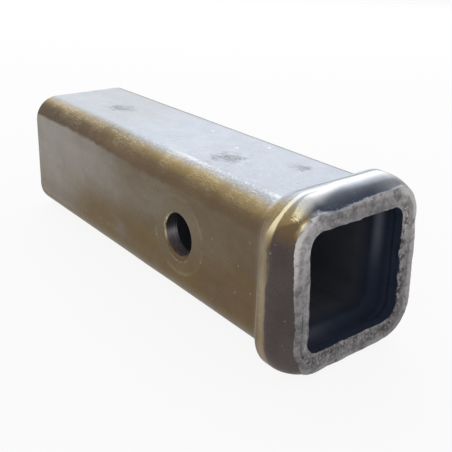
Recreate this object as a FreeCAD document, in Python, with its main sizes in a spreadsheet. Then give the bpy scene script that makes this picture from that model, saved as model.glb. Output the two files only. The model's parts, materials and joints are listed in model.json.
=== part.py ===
import FreeCAD, Part

import math
import os

import Sketcher

# Receiver tube of a tow hitch: one piece of square steel tube with a collar bead formed out of its
# own wall behind the mouth and one pin hole drilled through both side walls.
# Millimetres, +Z up. +X runs along the tube to the mouth, the drilled sides face -Y and +Y.
# The origin is the middle of the pin hole, on the tube's centre line.

SIZES = {
    # tube
    "outer_width": 63.5,
    "corner_radius": 12.7,
    "wall": 6.35,
    "tube_length": 216.0,
    "mouth_from_pin": 74.0,
    "rear_break": 0.6,
    # collar bead, every distance taken back from the mouth
    "collar_rise": 5.25,
    "collar_foot": 23.2,
    "collar_fillet": 6.0,
    "collar_slope": 50.0,
    "back_round": 3.0,
    "crown_front": 11.5,
    "rim_over": 1.5,
    "rim_round": 1.2,
    "lip_round": 0.6,
    # groove that the bead leaves inside the mouth
    "lip_length": 3.5,
    "groove_length": 13.0,
    "groove_depth": 3.0,
    "groove_round": 3.0,
    # pin hole
    "pin_dia": 19.05,
    "pin_clearance": 0.45,
    "pin_edge_break": 0.6,
}

ORIGIN = (-1, 1)
START = 1
END = 2
CENTRE = 3
SHAPE_TOLERANCE = 1e-4
LEAST_DRILLED_SHARE = 0.95

doc = FreeCAD.newDocument("receiver_tube")
sheet = doc.addObject("Spreadsheet::Sheet", "sizes")
for row, (alias, number) in enumerate(SIZES.items(), start=1):
    sheet.set("A%d" % row, alias)
    sheet.set("B%d" % row, str(number))
    sheet.setAlias("B%d" % row, alias)
doc.recompute()

body = doc.addObject("PartDesign::Body", "receiver_tube")
body.Label = "receiver_tube"
doc.recompute()


def point(x, y):
    return FreeCAD.Vector(x, y, 0)


def origin_plane(role):
    """One of the body's own base planes, found by its role."""
    for feature in body.Origin.OriginFeatures:
        if feature.Role == role:
            return feature
    raise RuntimeError("no origin plane " + role)


def new_sketch(name, role):
    """An empty sketch lying on one of the body's base planes."""
    sketch = body.newObject("Sketcher::SketchObject", name)
    sketch.AttachmentSupport = [(origin_plane(role), "")]
    sketch.MapMode = "FlatFace"
    doc.recompute()
    return sketch


def line(sketch, start, end):
    return sketch.addGeometry(Part.LineSegment(point(*start), point(*end)), False)


def arc(sketch, centre, radius, first_deg, last_deg):
    """An arc drawn anticlockwise from first_deg to last_deg."""
    circle = Part.Circle(point(*centre), FreeCAD.Vector(0, 0, 1), radius)
    curve = Part.ArcOfCircle(circle, math.radians(first_deg), math.radians(last_deg))
    return sketch.addGeometry(curve, False)


def tie(sketch, kind, *items):
    sketch.addConstraint(Sketcher.Constraint(kind, *items))


def size(sketch, name, formula, kind, *items):
    """A dimension whose value follows the sheet through the formula."""
    index = sketch.addConstraint(Sketcher.Constraint(kind, *items))
    sketch.renameConstraint(index, name)
    sketch.setExpression("Constraints." + name, formula)


half = SIZES["outer_width"] / 2
corner = SIZES["corner_radius"]
wall = SIZES["wall"]
mouth = SIZES["mouth_from_pin"]
rear = mouth - SIZES["tube_length"]


# Path of the wall round the tube: a square with rounded corners, as seen from the mouth.
path = new_sketch("wall_path", "YZ_Plane")
flat = half - corner
path_top = line(path, (flat, half), (-flat, half))
path_corner_1 = arc(path, (-flat, flat), corner, 90, 180)
path_left = line(path, (-half, flat), (-half, -flat))
path_corner_2 = arc(path, (-flat, -flat), corner, 180, 270)
path_bottom = line(path, (-flat, -half), (flat, -half))
path_corner_3 = arc(path, (flat, -flat), corner, 270, 360)
path_right = line(path, (half, -flat), (half, flat))
path_corner_4 = arc(path, (flat, flat), corner, 0, 90)
loop = [path_top, path_corner_1, path_left, path_corner_2,
        path_bottom, path_corner_3, path_right, path_corner_4]
for current, following in zip(loop, loop[1:] + loop[:1]):
    tie(path, "Tangent", current, END, following, START)
for side in (path_top, path_bottom):
    tie(path, "Horizontal", side)
for side in (path_left, path_right):
    tie(path, "Vertical", side)
for other in (path_corner_2, path_corner_3, path_corner_4):
    tie(path, "Equal", path_corner_1, other)
size(path, "corner", "sizes.corner_radius", "Radius", path_corner_1, corner)
size(path, "top", "sizes.outer_width / 2", "DistanceY", *ORIGIN, path_top, START, half)
size(path, "right", "sizes.outer_width / 2", "DistanceX", *ORIGIN, path_right, START, half)
size(path, "height", "sizes.outer_width", "DistanceY", path_bottom, START, path_top, START, 2 * half)
size(path, "width", "sizes.outer_width", "DistanceX", path_left, START, path_right, START, 2 * half)


# Lengthwise section of the wall, through the middle of the top side.
rear_break = SIZES["rear_break"]
rise = SIZES["collar_rise"]
fillet = SIZES["collar_fillet"]
slope_deg = SIZES["collar_slope"]
slope = math.radians(slope_deg)
back_round = SIZES["back_round"]
inner = half - wall
foot_x = mouth - SIZES["collar_foot"]
flank_rise = rise - (fillet + back_round) * (1 - math.cos(slope))
flank_low = (foot_x + fillet * math.sin(slope), half + fillet * (1 - math.cos(slope)))
flank_high = (flank_low[0] + flank_rise / math.tan(slope), flank_low[1] + flank_rise)
crown_back = (flank_high[0] + back_round * math.sin(slope), half + rise)
crown_front = (mouth - SIZES["crown_front"], half + rise)
front_drop = rise - SIZES["rim_over"]
front_run = SIZES["crown_front"]
front_radius = (front_run ** 2 + front_drop ** 2) / (2 * front_drop)
front_centre = (crown_front[0], crown_front[1] - front_radius)
rim_round = SIZES["rim_round"]
lip_round = SIZES["lip_round"]
front_end = math.acos((front_run - rim_round) / (front_radius - rim_round))
front_end_deg = math.degrees(front_end)
rim_centre = (mouth - rim_round, front_centre[1] + (front_radius - rim_round) * math.sin(front_end))
lip_x = mouth - SIZES["lip_length"]
groove_half = SIZES["groove_length"] / 2
groove_depth = SIZES["groove_depth"]
groove_round = SIZES["groove_round"]
groove_sum = (groove_half ** 2 + groove_depth ** 2) / (2 * groove_depth)
groove_floor = groove_sum - groove_round
groove_turn = math.degrees(math.asin(groove_half / groove_sum))
groove_mid_x = lip_x - groove_half
groove_end_x = lip_x - 2 * groove_half

section = new_sketch("wall_section", "XZ_Plane")
rear_outer = line(section, (rear, half - rear_break), (rear + rear_break, half))
outside = line(section, (rear + rear_break, half), (foot_x, half))
foot_arc = arc(section, (foot_x, half + fillet), fillet, 270, 270 + slope_deg)
flank = line(section, flank_low, flank_high)
back_arc = arc(section, (crown_back[0], half + rise - back_round), back_round, 90, 90 + slope_deg)
crown = line(section, crown_back, crown_front)
front_arc = arc(section, front_centre, front_radius, front_end_deg, 90)
rim_edge = arc(section, rim_centre, rim_round, 0, front_end_deg)
rim = line(section, (mouth, rim_centre[1]), (mouth, inner + lip_round))
lip_edge = arc(section, (mouth - lip_round, inner + lip_round), lip_round, 270, 360)
lip = line(section, (mouth - lip_round, inner), (lip_x, inner))
groove_front = arc(section, (lip_x, inner + groove_round), groove_round, 270 - groove_turn, 270)
groove_arc = arc(section, (groove_mid_x, inner + groove_depth - groove_floor), groove_floor,
                 90 - groove_turn, 90 + groove_turn)
groove_back = arc(section, (groove_end_x, inner + groove_round), groove_round, 270, 270 + groove_turn)
inside = line(section, (groove_end_x, inner), (rear + rear_break, inner))
rear_inner = line(section, (rear + rear_break, inner), (rear, inner + rear_break))
rear_face = line(section, (rear, inner + rear_break), (rear, half - rear_break))

for first, first_end, second, second_end in (
        (rear_outer, END, outside, START),
        (inside, END, rear_inner, START),
        (rear_inner, END, rear_face, START),
        (rear_face, END, rear_outer, START)):
    tie(section, "Coincident", first, first_end, second, second_end)
for first, first_end, second, second_end in (
        (outside, END, foot_arc, START),
        (foot_arc, END, flank, START),
        (flank, END, back_arc, END),
        (back_arc, START, crown, START),
        (crown, END, front_arc, END),
        (front_arc, START, rim_edge, END),
        (rim_edge, START, rim, START),
        (rim, END, lip_edge, END),
        (lip_edge, START, lip, START),
        (lip, END, groove_front, END),
        (groove_front, START, groove_arc, START),
        (groove_arc, END, groove_back, END),
        (groove_back, START, inside, START)):
    tie(section, "Tangent", first, first_end, second, second_end)
for level in (outside, crown, lip, inside):
    tie(section, "Horizontal", level)
for upright in (rim, rear_face):
    tie(section, "Vertical", upright)
tie(section, "Horizontal", lip, END, inside, START)
tie(section, "Equal", groove_front, groove_back)

size(section, "outer", "sizes.outer_width / 2", "DistanceY", *ORIGIN, outside, START, half)
size(section, "rear", "sizes.tube_length - sizes.mouth_from_pin", "DistanceX",
     rear_outer, START, *ORIGIN, -rear)
size(section, "mouth", "sizes.mouth_from_pin", "DistanceX", *ORIGIN, rim, START, mouth)
size(section, "thickness", "sizes.wall", "DistanceY", lip, START, outside, START, wall)
size(section, "break_outer_x", "sizes.rear_break", "DistanceX",
     rear_outer, START, rear_outer, END, rear_break)
size(section, "break_outer_y", "sizes.rear_break", "DistanceY",
     rear_outer, START, rear_outer, END, rear_break)
size(section, "break_inner_x", "sizes.rear_break", "DistanceX",
     rear_inner, END, rear_inner, START, rear_break)
size(section, "break_inner_y", "sizes.rear_break", "DistanceY",
     rear_inner, START, rear_inner, END, rear_break)
size(section, "foot", "sizes.collar_foot", "DistanceX", outside, END, rim, START, mouth - foot_x)
size(section, "foot_fillet", "sizes.collar_fillet", "Radius", foot_arc, fillet)
size(section, "flank_slope", "sizes.collar_slope * 1deg", "Angle", flank, slope)
size(section, "back_edge", "sizes.back_round", "Radius", back_arc, back_round)
size(section, "crown_height", "sizes.collar_rise", "DistanceY", outside, START, crown, START, rise)
size(section, "crown_end", "sizes.crown_front", "DistanceX", crown, END, rim, START, front_run)
size(section, "front_curve",
     "(sizes.crown_front ^ 2 + (sizes.collar_rise - sizes.rim_over) ^ 2)"
     " / (2 * (sizes.collar_rise - sizes.rim_over))",
     "Radius", front_arc, front_radius)
size(section, "rim_edge", "sizes.rim_round", "Radius", rim_edge, rim_round)
size(section, "lip_edge", "sizes.lip_round", "Radius", lip_edge, lip_round)
size(section, "lip_run", "sizes.lip_length", "DistanceX", lip, END, rim, START, SIZES["lip_length"])
size(section, "groove_run", "sizes.groove_length", "DistanceX", inside, START, lip, END, 2 * groove_half)
size(section, "groove_edge", "sizes.groove_round", "Radius", groove_front, groove_round)
size(section, "groove_bed",
     "((sizes.groove_length / 2) ^ 2 + sizes.groove_depth ^ 2)"
     " / (2 * sizes.groove_depth) - sizes.groove_round",
     "Radius", groove_arc, groove_floor)
doc.recompute()

# The wall: its section carried once round the path makes tube, collar and groove in one piece.
tube = body.newObject("PartDesign::AdditivePipe", "wall_round")
tube.Profile = (section, [""])
tube.Spine = (path, [""])
tube.Mode = "Binormal"
tube.Binormal = FreeCAD.Vector(1, 0, 0)
doc.recompute()

# Pin hole, square to the tube through both side walls.
pin_outline = new_sketch("pin_outline", "XZ_Plane")
pin_radius = (SIZES["pin_dia"] + SIZES["pin_clearance"]) / 2
pin_circle = pin_outline.addGeometry(Part.Circle(point(0, 0), FreeCAD.Vector(0, 0, 1), pin_radius), False)
tie(pin_outline, "Coincident", pin_circle, CENTRE, *ORIGIN)
size(pin_outline, "diameter", "sizes.pin_dia + sizes.pin_clearance", "Diameter", pin_circle, 2 * pin_radius)
doc.recompute()

solid_wall = tube.Shape.Volume
pin_hole = body.newObject("PartDesign::Pocket", "pin_hole")
pin_hole.Profile = pin_outline
pin_hole.Type = "ThroughAll"
pin_hole.Midplane = True
doc.recompute()
drilled = solid_wall - pin_hole.Shape.Volume
two_plugs = 2 * math.pi * pin_radius ** 2 * wall
if drilled < LEAST_DRILLED_SHARE * two_plugs:
    raise RuntimeError("the pin hole does not go through both walls")

# The hole's outer edges are broken with a small chamfer.
hole_edges = []
for number, edge in enumerate(pin_hole.Shape.Edges, start=1):
    centre = edge.BoundBox.Center
    on_axis = math.hypot(centre.x, centre.z) < SHAPE_TOLERANCE
    on_outside = abs(abs(centre.y) - half) < SHAPE_TOLERANCE
    if on_axis and on_outside:
        hole_edges.append("Edge%d" % number)
if len(hole_edges) != 2:
    raise RuntimeError("the pin hole must have one outer edge on each side")
pin_edge = body.newObject("PartDesign::Chamfer", "pin_edge")
pin_edge.Base = (pin_hole, hole_edges)
pin_edge.setExpression("Size", "sizes.pin_edge_break")
doc.recompute()

for item in doc.Objects:
    if "Invalid" in item.State or "Error" in item.State:
        raise RuntimeError("%s did not build" % item.Name)
for item in (tube, pin_hole, pin_edge, body):
    if item.Shape.isNull() or not item.Shape.isValid():
        raise RuntimeError("%s has no sound shape" % item.Name)
if len(body.Shape.Solids) != 1:
    raise RuntimeError("the tube must be one solid")

os.makedirs("parts", exist_ok=True)
body.Shape.exportStep("parts/%s.step" % body.Label)
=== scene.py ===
import functools
import json
import math

import bmesh
import bpy
from mathutils import Matrix, Vector, noise


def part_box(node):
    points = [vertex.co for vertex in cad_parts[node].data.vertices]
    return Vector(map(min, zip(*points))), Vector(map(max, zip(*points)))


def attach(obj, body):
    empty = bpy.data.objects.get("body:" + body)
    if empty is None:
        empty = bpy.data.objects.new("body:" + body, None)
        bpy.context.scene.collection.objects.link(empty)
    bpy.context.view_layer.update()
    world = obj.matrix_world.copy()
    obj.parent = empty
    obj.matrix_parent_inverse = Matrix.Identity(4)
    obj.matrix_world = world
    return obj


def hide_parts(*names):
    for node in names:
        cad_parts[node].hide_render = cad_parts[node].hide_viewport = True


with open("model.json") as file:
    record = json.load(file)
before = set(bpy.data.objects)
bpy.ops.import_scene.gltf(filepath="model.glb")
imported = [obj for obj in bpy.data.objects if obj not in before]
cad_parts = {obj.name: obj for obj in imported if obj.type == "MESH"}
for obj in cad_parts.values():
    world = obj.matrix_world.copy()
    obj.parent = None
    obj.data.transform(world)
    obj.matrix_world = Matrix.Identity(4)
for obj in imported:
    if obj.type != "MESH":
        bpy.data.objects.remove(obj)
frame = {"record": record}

bl_info = {
    "name": "Receiver Tube",
    "version": (1, 0, 0),
    "blender": (4, 5, 0),
    "location": "3D View > Sidebar > Receiver Tube",
    "description": "Forms, drills and finishes a square hitch receiver tube with a formed collar",
    "category": "Object",
}

NODE = "receiver_tube"
BODY = "root"
PIECE = "tube_wall"
MM = 0.001
QUARTER = math.pi / 2
LOW, HIGH = (Vector(corner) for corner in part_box(NODE))
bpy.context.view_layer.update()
PIN_BORE = next(mount for mount in frame["record"]["mounts"] if mount["name"] == "pin_bore")
PIN_RADIUS = PIN_BORE["dims"]["r_mm"] * MM

# How the wall's mesh is closed, drilled and smoothed.
MERGE = 0.02 * MM
DRILL_SIDES = 128
DRILL_CLEAR = 9 * MM
SHARP_ANGLE = math.radians(35.0)

# Finishes of the wall, in the order of the piece's material slots.
SKIN, CUT, INNER, DRILLED = range(4)

# Soft noises that shape the wall: the size of their lumps in millimetres, and where the noise starts.
LUMPS = {
    "lift": (11.0, 1.0),
    "stray": (9.0, 2.0),
    "fine_stray": (3.5, 3.0),
    "wave": (22.0, 4.0),
    "long_wave": (45.0, 5.0),
    "crown": (14.0, 6.0),
    "burr": (6.0, 7.0),
    "fine_burr": (2.5, 8.0),
    "hollow": (5.0, 9.0),
    "fine_hollow": (2.2, 10.0),
}

# Reaches of the rim's marks back from the mouth, and the depths in the wall that they start and end at.
LIP_REACH = 1.3 * MM
LIP_HOLLOW, LIP_HOLLOW_REACH = 2.7 * MM, 1.5 * MM
CREASE_BACK, CREASE_REACH = 2.6 * MM, 1.6 * MM
CREASE_LEFT, CREASE_RIGHT = (-24 * MM, -12 * MM), (14 * MM, 26 * MM)
DRAWN_REACH = 8 * MM
STRAY_REACH = 3.0 * MM
BURR_REACH = 2.2 * MM
FACE_REACH = 1.0 * MM
FACE_MIDDLE, FACE_HALF = 2.4 * MM, 4.0 * MM
LEAN_FROM, LEAN_TO = 1 * MM, 10 * MM
OUTER_WALL, INNER_WALL = (-3.0 * MM, -0.5 * MM), (-5.5 * MM, -3.0 * MM)

# Handling marks on the top: centre along and across, half length and half width, in millimetres.
SMUDGES = ((-96.0, -3.0, 10.0, 6.5), (4.5, -8.0, 8.0, 9.0), (32.0, 9.0, 5.0, 4.0))

# Small bright curls on the top: centre along and across, in millimetres.
CURLS = ((-33.3, 11.2), (-5.1, 3.6), (3.0, 15.7))

WHITE = (1.0, 1.0, 1.0)


def length_property(name, description, millimetres):
    return bpy.props.FloatProperty(
        name=name, description=description, default=millimetres * MM, unit="LENGTH", precision=5)


def colour_property(name, description, colour):
    return bpy.props.FloatVectorProperty(
        name=name, description=description, default=colour, size=3, min=0.0, max=1.0, subtype="COLOR")


class TubeSizes(bpy.types.PropertyGroup):
    """The sizes of the tube's wall, collar and pin hole."""

    outer_width: length_property("Outer width", "Tube across its flats", 63.5)
    corner_radius: length_property("Corner radius", "Outer corner of the tube", 12.7)
    wall: length_property("Wall", "Thickness of the tube's wall", 6.35)
    rear_break: length_property("Rear break", "Bevel round the sawn rear end", 0.6)
    collar_foot: length_property("Collar foot", "From the mouth back to the collar's foot", 23.2)
    collar_fillet: length_property("Collar fillet", "Hollow round at the foot of the collar", 6.0)
    collar_slope: bpy.props.FloatProperty(
        name="Collar slope", description="Slope of the collar's back flank", default=math.radians(50.0),
        subtype="ANGLE")
    back_round: length_property("Back round", "Round at the top of the collar's back flank", 3.0)
    crown_front: length_property("Crown front", "From the mouth back to the collar's crown", 11.5)
    rim_over: length_property("Rim over", "Rim's outer edge above the tube's flats", 1.5)
    rim_round: length_property("Rim round", "Outer edge of the rim", 1.2)
    lip_round: length_property("Lip round", "Inner edge of the rim", 0.6)
    lip_length: length_property("Lip length", "Straight lip inside the mouth", 3.5)
    groove_length: length_property("Groove length", "Groove that the rolled collar leaves inside", 13.0)
    groove_depth: length_property("Groove depth", "Depth of that groove", 3.0)
    groove_round: length_property("Groove round", "Edges of that groove", 3.0)
    pin_edge_break: length_property("Pin edge break", "Bevel round the pin hole", 0.6)
    rim_lip: length_property("Rim lip", "Edge thrown up round the outside of the rim", 0.9)
    rim_crease: length_property("Rim crease", "Crease behind that edge on the top side", 1.7)
    rim_drawn: length_property("Rim drawn", "How far the rim is drawn in on the left and on top", 1.6)
    rim_skew: length_property("Rim skew", "How far the rim leans to the right low down", 1.6)
    rim_wander: length_property("Rim wander", "How far the rim's outline strays", 0.7)
    rim_pits: length_property("Rim pits", "Depth of the hollows in the rim's face", 0.6)
    rim_crown: length_property("Rim crown", "How far the rim's face falls back towards its edges", 0.5)
    burr: length_property("Burr", "Burrs pushed inwards at the mouth", 0.7)
    skin_wave: length_property("Skin wave", "Waviness of the rolled corners", 0.14)
    grain: length_property("Grain", "Length of the wall's mesh faces near the rim", 0.95)
    plain_grain: length_property("Plain grain", "Length of the mesh faces along the plain tube", 3.0)


class SteelColours(bpy.types.PropertyGroup):
    """The colours of the worn, lightly oiled mill steel, and of the painted reflections, highlights and
    shade on it.
    """

    # Top to brown make the ramps round the corners. Pale, straw, gold, bronze and brown are painted
    # reflection bands, pale a painted highlight by the top, and top the top face's own tone, also used for
    # the painted highlight on the rim's lip. Bronze and brown also serve in the painted shade on the
    # collar's front, and straw in the rust round the pin hole.
    top: colour_property("Top", "Rubbed bright top", (0.264, 0.285, 0.326))
    pale: colour_property("Pale", "Rubbed edge of the top", (0.264, 0.270, 0.284))
    straw: colour_property("Straw", "Straw colour along the corners", (0.315, 0.240, 0.122))
    gold: colour_property("Gold", "Deeper gold under the straw", (0.255, 0.178, 0.076))
    bronze: colour_property("Bronze", "Bronze under the gold", (0.16, 0.112, 0.06))
    brown: colour_property("Brown", "Dark oxide along the corners", (0.134, 0.088, 0.048))
    rear: colour_property("Rear", "Grey side towards the rear", (0.292, 0.265, 0.237))
    front: colour_property("Front", "Browned side towards the collar", (0.148, 0.110, 0.063))
    # Olive: a painted warm reflection low on the sides and round the lower corners.
    olive: colour_property("Olive", "Olive tint low on the sides", (0.140, 0.088, 0.027))
    russet: colour_property("Russet", "Russet low on the sides by the collar", (0.140, 0.084, 0.044))
    # Ridge: the painted highlight behind the collar's crown, and the ring worn by a washer round the pin
    # hole.
    ridge: colour_property("Ridge", "Rubbed back of the collar", (0.275, 0.220, 0.150))
    # Crest, crest edge and crest top: painted highlights on the collar's crown and corner, crest top where
    # they run over the top side and also the painted glints along the top's near edge. Crest also colours
    # the scratches, the bright curls on the top and the painted highlight on the pin hole's edge; crest
    # edge the painted highlight beside the hole.
    crest: colour_property("Crest", "Burnished crest of the collar", (0.86, 0.76, 0.50))
    crest_edge: colour_property("Crest edge", "Gold round the burnished streaks", (0.52, 0.425, 0.225))
    crest_top: colour_property("Crest top", "Burnished crest on the top side", (0.56, 0.565, 0.57))
    # Flank and blue: painted shade, a dark reflection, on the collar's front slope, on the sides and on
    # top.
    flank: colour_property("Flank", "Dark scale on the collar's front", (0.080, 0.063, 0.062))
    blue: colour_property("Blue", "Blued scale above the rim", (0.038, 0.047, 0.078))
    # Smudge: the speckled handling marks and dark specks, and the painted shade lines behind the collar's
    # crown and along the far top corner.
    smudge_and_shade: colour_property("Smudge", "Speckled handling marks", (0.075, 0.075, 0.08))
    rust: colour_property("Rust", "Rust under the pin hole", (0.150, 0.080, 0.034))
    stain: colour_property("Stain", "Dark flecks in the rust and on the rim", (0.055, 0.036, 0.024))
    cut: colour_property("Cut", "Rim and rear end", (0.19, 0.181, 0.187))
    cut_bright: colour_property("Cut bright", "Bright tops of the rough rim", (0.33, 0.315, 0.318))
    # Cut edge: painted highlights along the rim's outer and inner edges, and its bright flecks.
    cut_edge: colour_property("Cut edge", "Bruised edges and flecks of the rim", (0.48, 0.46, 0.45))
    cut_dark: colour_property("Cut dark", "Hollows of the rough rim", (0.05, 0.043, 0.046))
    inner: colour_property("Inner", "Scale inside the tube", (0.094, 0.103, 0.128))
    inner_lip: colour_property("Inner lip", "Scale just inside the mouth", (0.033, 0.044, 0.077))
    # Painted highlight at the back of the groove inside the mouth.
    groove_highlight_colour: colour_property("Inner rub", "Rubbed back of the groove", (0.120, 0.121, 0.165))
    drilled: colour_property("Drilled", "Wall of the pin hole", (0.19, 0.185, 0.205))


class StudioLook(bpy.types.PropertyGroup):
    """The floor, the lamps and the camera."""

    floor: colour_property("Floor", "Pale floor", (0.9, 0.9, 0.9))
    floor_white: bpy.props.FloatProperty(
        name="Floor white", description="Share of the floor that shows plain white", default=0.9,
        subtype="FACTOR", min=0.0, max=1.0)
    floor_reach: length_property("Floor reach", "Half the length of the floor's sides", 4000.0)
    ambient: bpy.props.FloatProperty(
        name="Ambient", description="Light from all round", default=0.55, min=0.0)
    softbox_power: bpy.props.FloatProperty(
        name="Softbox power", description="Large lamp behind and above the tube", default=7.0, unit="POWER")
    softbox_colour: colour_property("Softbox colour", "Cool daylight", (0.95, 0.98, 1.0))
    softbox_width: length_property("Softbox width", "Lamp across", 1600.0)
    softbox_height: length_property("Softbox height", "Lamp from top to bottom", 900.0)
    softbox_reach: length_property("Softbox reach", "From the tube's middle to the lamp", 1100.0)
    softbox_way: bpy.props.FloatVectorProperty(
        name="Softbox way", description="Direction from the tube to the lamp", size=3, subtype="DIRECTION",
        default=(-0.66, 0.53, 0.53))
    camera_place: bpy.props.FloatVectorProperty(
        name="Camera place", description="Where the camera stands", size=3, subtype="TRANSLATION",
        default=(0.230227, -0.189959, 0.126934))
    camera_aim: bpy.props.FloatVectorProperty(
        name="Camera aim", description="Direction in which the camera looks", size=3, subtype="DIRECTION",
        default=(-0.737977, 0.589719, -0.328057))
    camera_roll: bpy.props.FloatProperty(
        name="Camera roll", description="Turn about the line of sight", default=math.radians(1.449),
        subtype="ANGLE")
    camera_lens: bpy.props.FloatProperty(
        name="Camera lens", description="Focal length", default=56.31, unit="CAMERA")
    camera_drop: bpy.props.FloatProperty(
        name="Camera drop", description="Vertical shift of the picture", default=-0.1239)
    camera_near: length_property("Camera near", "Nearest distance that the camera sees", 10.0)


class SectionPen:
    """Draws the wall's lengthwise section as a chain of edges in the XZ plane."""

    def __init__(self, mesh, start):
        self.mesh = mesh
        self.tip = bmesh.ops.create_vert(mesh, co=start)["vert"][0]
        self.heading = 0.0

    def run(self, length, grain):
        """Goes straight on in equal steps."""
        count = max(1, round(length / grain))
        ahead = Vector((math.cos(self.heading), 0.0, math.sin(self.heading)))
        self.draw(count, cent=self.tip.co, axis=(0.0, -1.0, 0.0), angle=0.0, dvec=ahead * (length / count))

    def turn(self, radius, angle, grain):
        """Follows an arc, to the left for a positive angle and to the right for a negative one."""
        count = max(3, round(radius * abs(angle) / grain))
        left = Vector((-math.sin(self.heading), 0.0, math.cos(self.heading)))
        centre = self.tip.co + left * math.copysign(radius, angle)
        self.draw(count, cent=centre, axis=(0.0, -1.0, 0.0), angle=angle)
        self.heading += angle

    def bend(self, angle):
        """Changes direction at a sharp corner."""
        self.heading += angle

    def draw(self, count, **way):
        made = bmesh.ops.spin(self.mesh, geom=[self.tip], steps=count, **way)
        self.tip = next(part for part in made["geom_last"] if isinstance(part, bmesh.types.BMVert))


def draw_section(mesh, sizes):
    """Draws the section of the top wall at the end of its flat, from the rear, round the rim and back."""
    half = sizes.outer_width / 2
    flat = half - sizes.corner_radius
    rear, mouth = LOW.x, HIGH.x
    rise = HIGH.z - half
    slope = sizes.collar_slope
    fine = sizes.grain / 2

    curve = 1.0 - math.cos(slope)
    flank_rise = rise - (sizes.collar_fillet + sizes.back_round) * curve
    flank = flank_rise / math.sin(slope)
    climb = (sizes.collar_fillet + sizes.back_round) * math.sin(slope) + flank * math.cos(slope)
    drop = rise - sizes.rim_over
    front_round = (sizes.crown_front ** 2 + drop ** 2) / (2 * drop)
    front_turn = math.asin((sizes.crown_front - sizes.rim_round) / (front_round - sizes.rim_round))
    rim_centre = HIGH.z - front_round + (front_round - sizes.rim_round) * math.cos(front_turn)
    floor_round = ((sizes.groove_length / 2) ** 2 + sizes.groove_depth ** 2) / (2 * sizes.groove_depth)
    floor_round -= sizes.groove_round
    groove_turn = math.asin(sizes.groove_length / 2 / (floor_round + sizes.groove_round))
    inner = half - sizes.wall
    bevel = sizes.rear_break * math.sqrt(2)

    pen = SectionPen(mesh, (rear + sizes.rear_break, -flat, half))
    pen.run(mouth - rear - sizes.rear_break - sizes.collar_foot, sizes.plain_grain)
    pen.turn(sizes.collar_fillet, slope, sizes.grain)
    pen.run(flank, sizes.grain)
    pen.turn(sizes.back_round, -slope, fine)
    pen.run(sizes.collar_foot - sizes.crown_front - climb, sizes.grain)
    pen.turn(front_round, -front_turn, fine)
    pen.turn(sizes.rim_round, front_turn - QUARTER, fine / 2)
    pen.run(rim_centre - inner - sizes.lip_round, fine)
    pen.turn(sizes.lip_round, -QUARTER, fine / 2)
    pen.run(sizes.lip_length - sizes.lip_round, fine)
    pen.turn(sizes.groove_round, -groove_turn, fine)
    pen.turn(floor_round, 2 * groove_turn, fine)
    pen.turn(sizes.groove_round, -groove_turn, fine)
    pen.run(mouth - rear - sizes.lip_length - sizes.groove_length - sizes.rear_break, sizes.plain_grain)
    for length in (bevel, sizes.wall - 2 * sizes.rear_break, bevel):
        pen.bend(-QUARTER / 2)
        pen.run(length, sizes.grain)


def sweep_section(mesh, sizes):
    """Takes the section round the four corners and along the four flats."""
    flat = sizes.outer_width / 2 - sizes.corner_radius
    corner_steps = round(sizes.corner_radius * QUARTER / sizes.grain)
    flat_steps = round(2 * flat / sizes.grain)
    section = mesh.verts[:] + mesh.edges[:]
    centre = Vector((0.0, -flat, flat))
    along = Vector((0.0, 0.0, -2 * flat))
    quarter_turn = Matrix.Rotation(QUARTER, 3, "X")
    for _ in range(4):
        made = bmesh.ops.spin(
            mesh, geom=section, cent=centre, axis=(1.0, 0.0, 0.0), angle=QUARTER, steps=corner_steps)
        made = bmesh.ops.spin(
            mesh, geom=made["geom_last"], cent=centre, axis=(1.0, 0.0, 0.0), angle=0.0,
            dvec=along / flat_steps, steps=flat_steps)
        section = made["geom_last"]
        centre = quarter_turn @ centre
        along = quarter_turn @ along
    bmesh.ops.remove_doubles(mesh, verts=mesh.verts, dist=MERGE)
    bmesh.ops.recalc_face_normals(mesh, faces=mesh.faces)


def ease(value, low, high):
    """Rises smoothly from 0 at low to 1 at high."""
    share = min(max((value - low) / (high - low), 0.0), 1.0)
    return share * share * (3.0 - 2.0 * share)


def hump(value, width):
    """Falls smoothly from 1 at zero."""
    return math.exp(-(value / width) ** 2)


class WallSpot:
    """Where a point of the wall lies: behind the mouth, proud of the tube's outside and round a corner."""

    def __init__(self, place, sizes):
        flat = sizes.outer_width / 2 - sizes.corner_radius
        across = max(abs(place.y) - flat, 0.0)
        upward = max(abs(place.z) - flat, 0.0)
        reach = math.hypot(across, upward)
        turn = math.atan2(upward, across) / QUARTER
        self.place = place.copy()
        self.back = HIGH.x - place.x
        self.proud = reach - sizes.corner_radius
        self.cornered = min(across, upward) / reach
        self.outward = Vector((0.0, math.copysign(across, place.y), math.copysign(upward, place.z))) / reach
        self.above = ease(turn, 0.5, 0.9) if place.z > 0.0 else 0.0
        self.left = 1.0 - ease(turn, 0.3, 0.7) if place.y < 0.0 else 0.0
        self.low = ease(-place.z, -20 * MM, 12 * MM)

    def lumps(self, name):
        """Soft noise of about -1 to 1 at this point."""
        size, start = LUMPS[name]
        return noise.noise(self.place / (size * MM) + Vector((start, 2.3 * start, 4.1 * start)))


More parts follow.
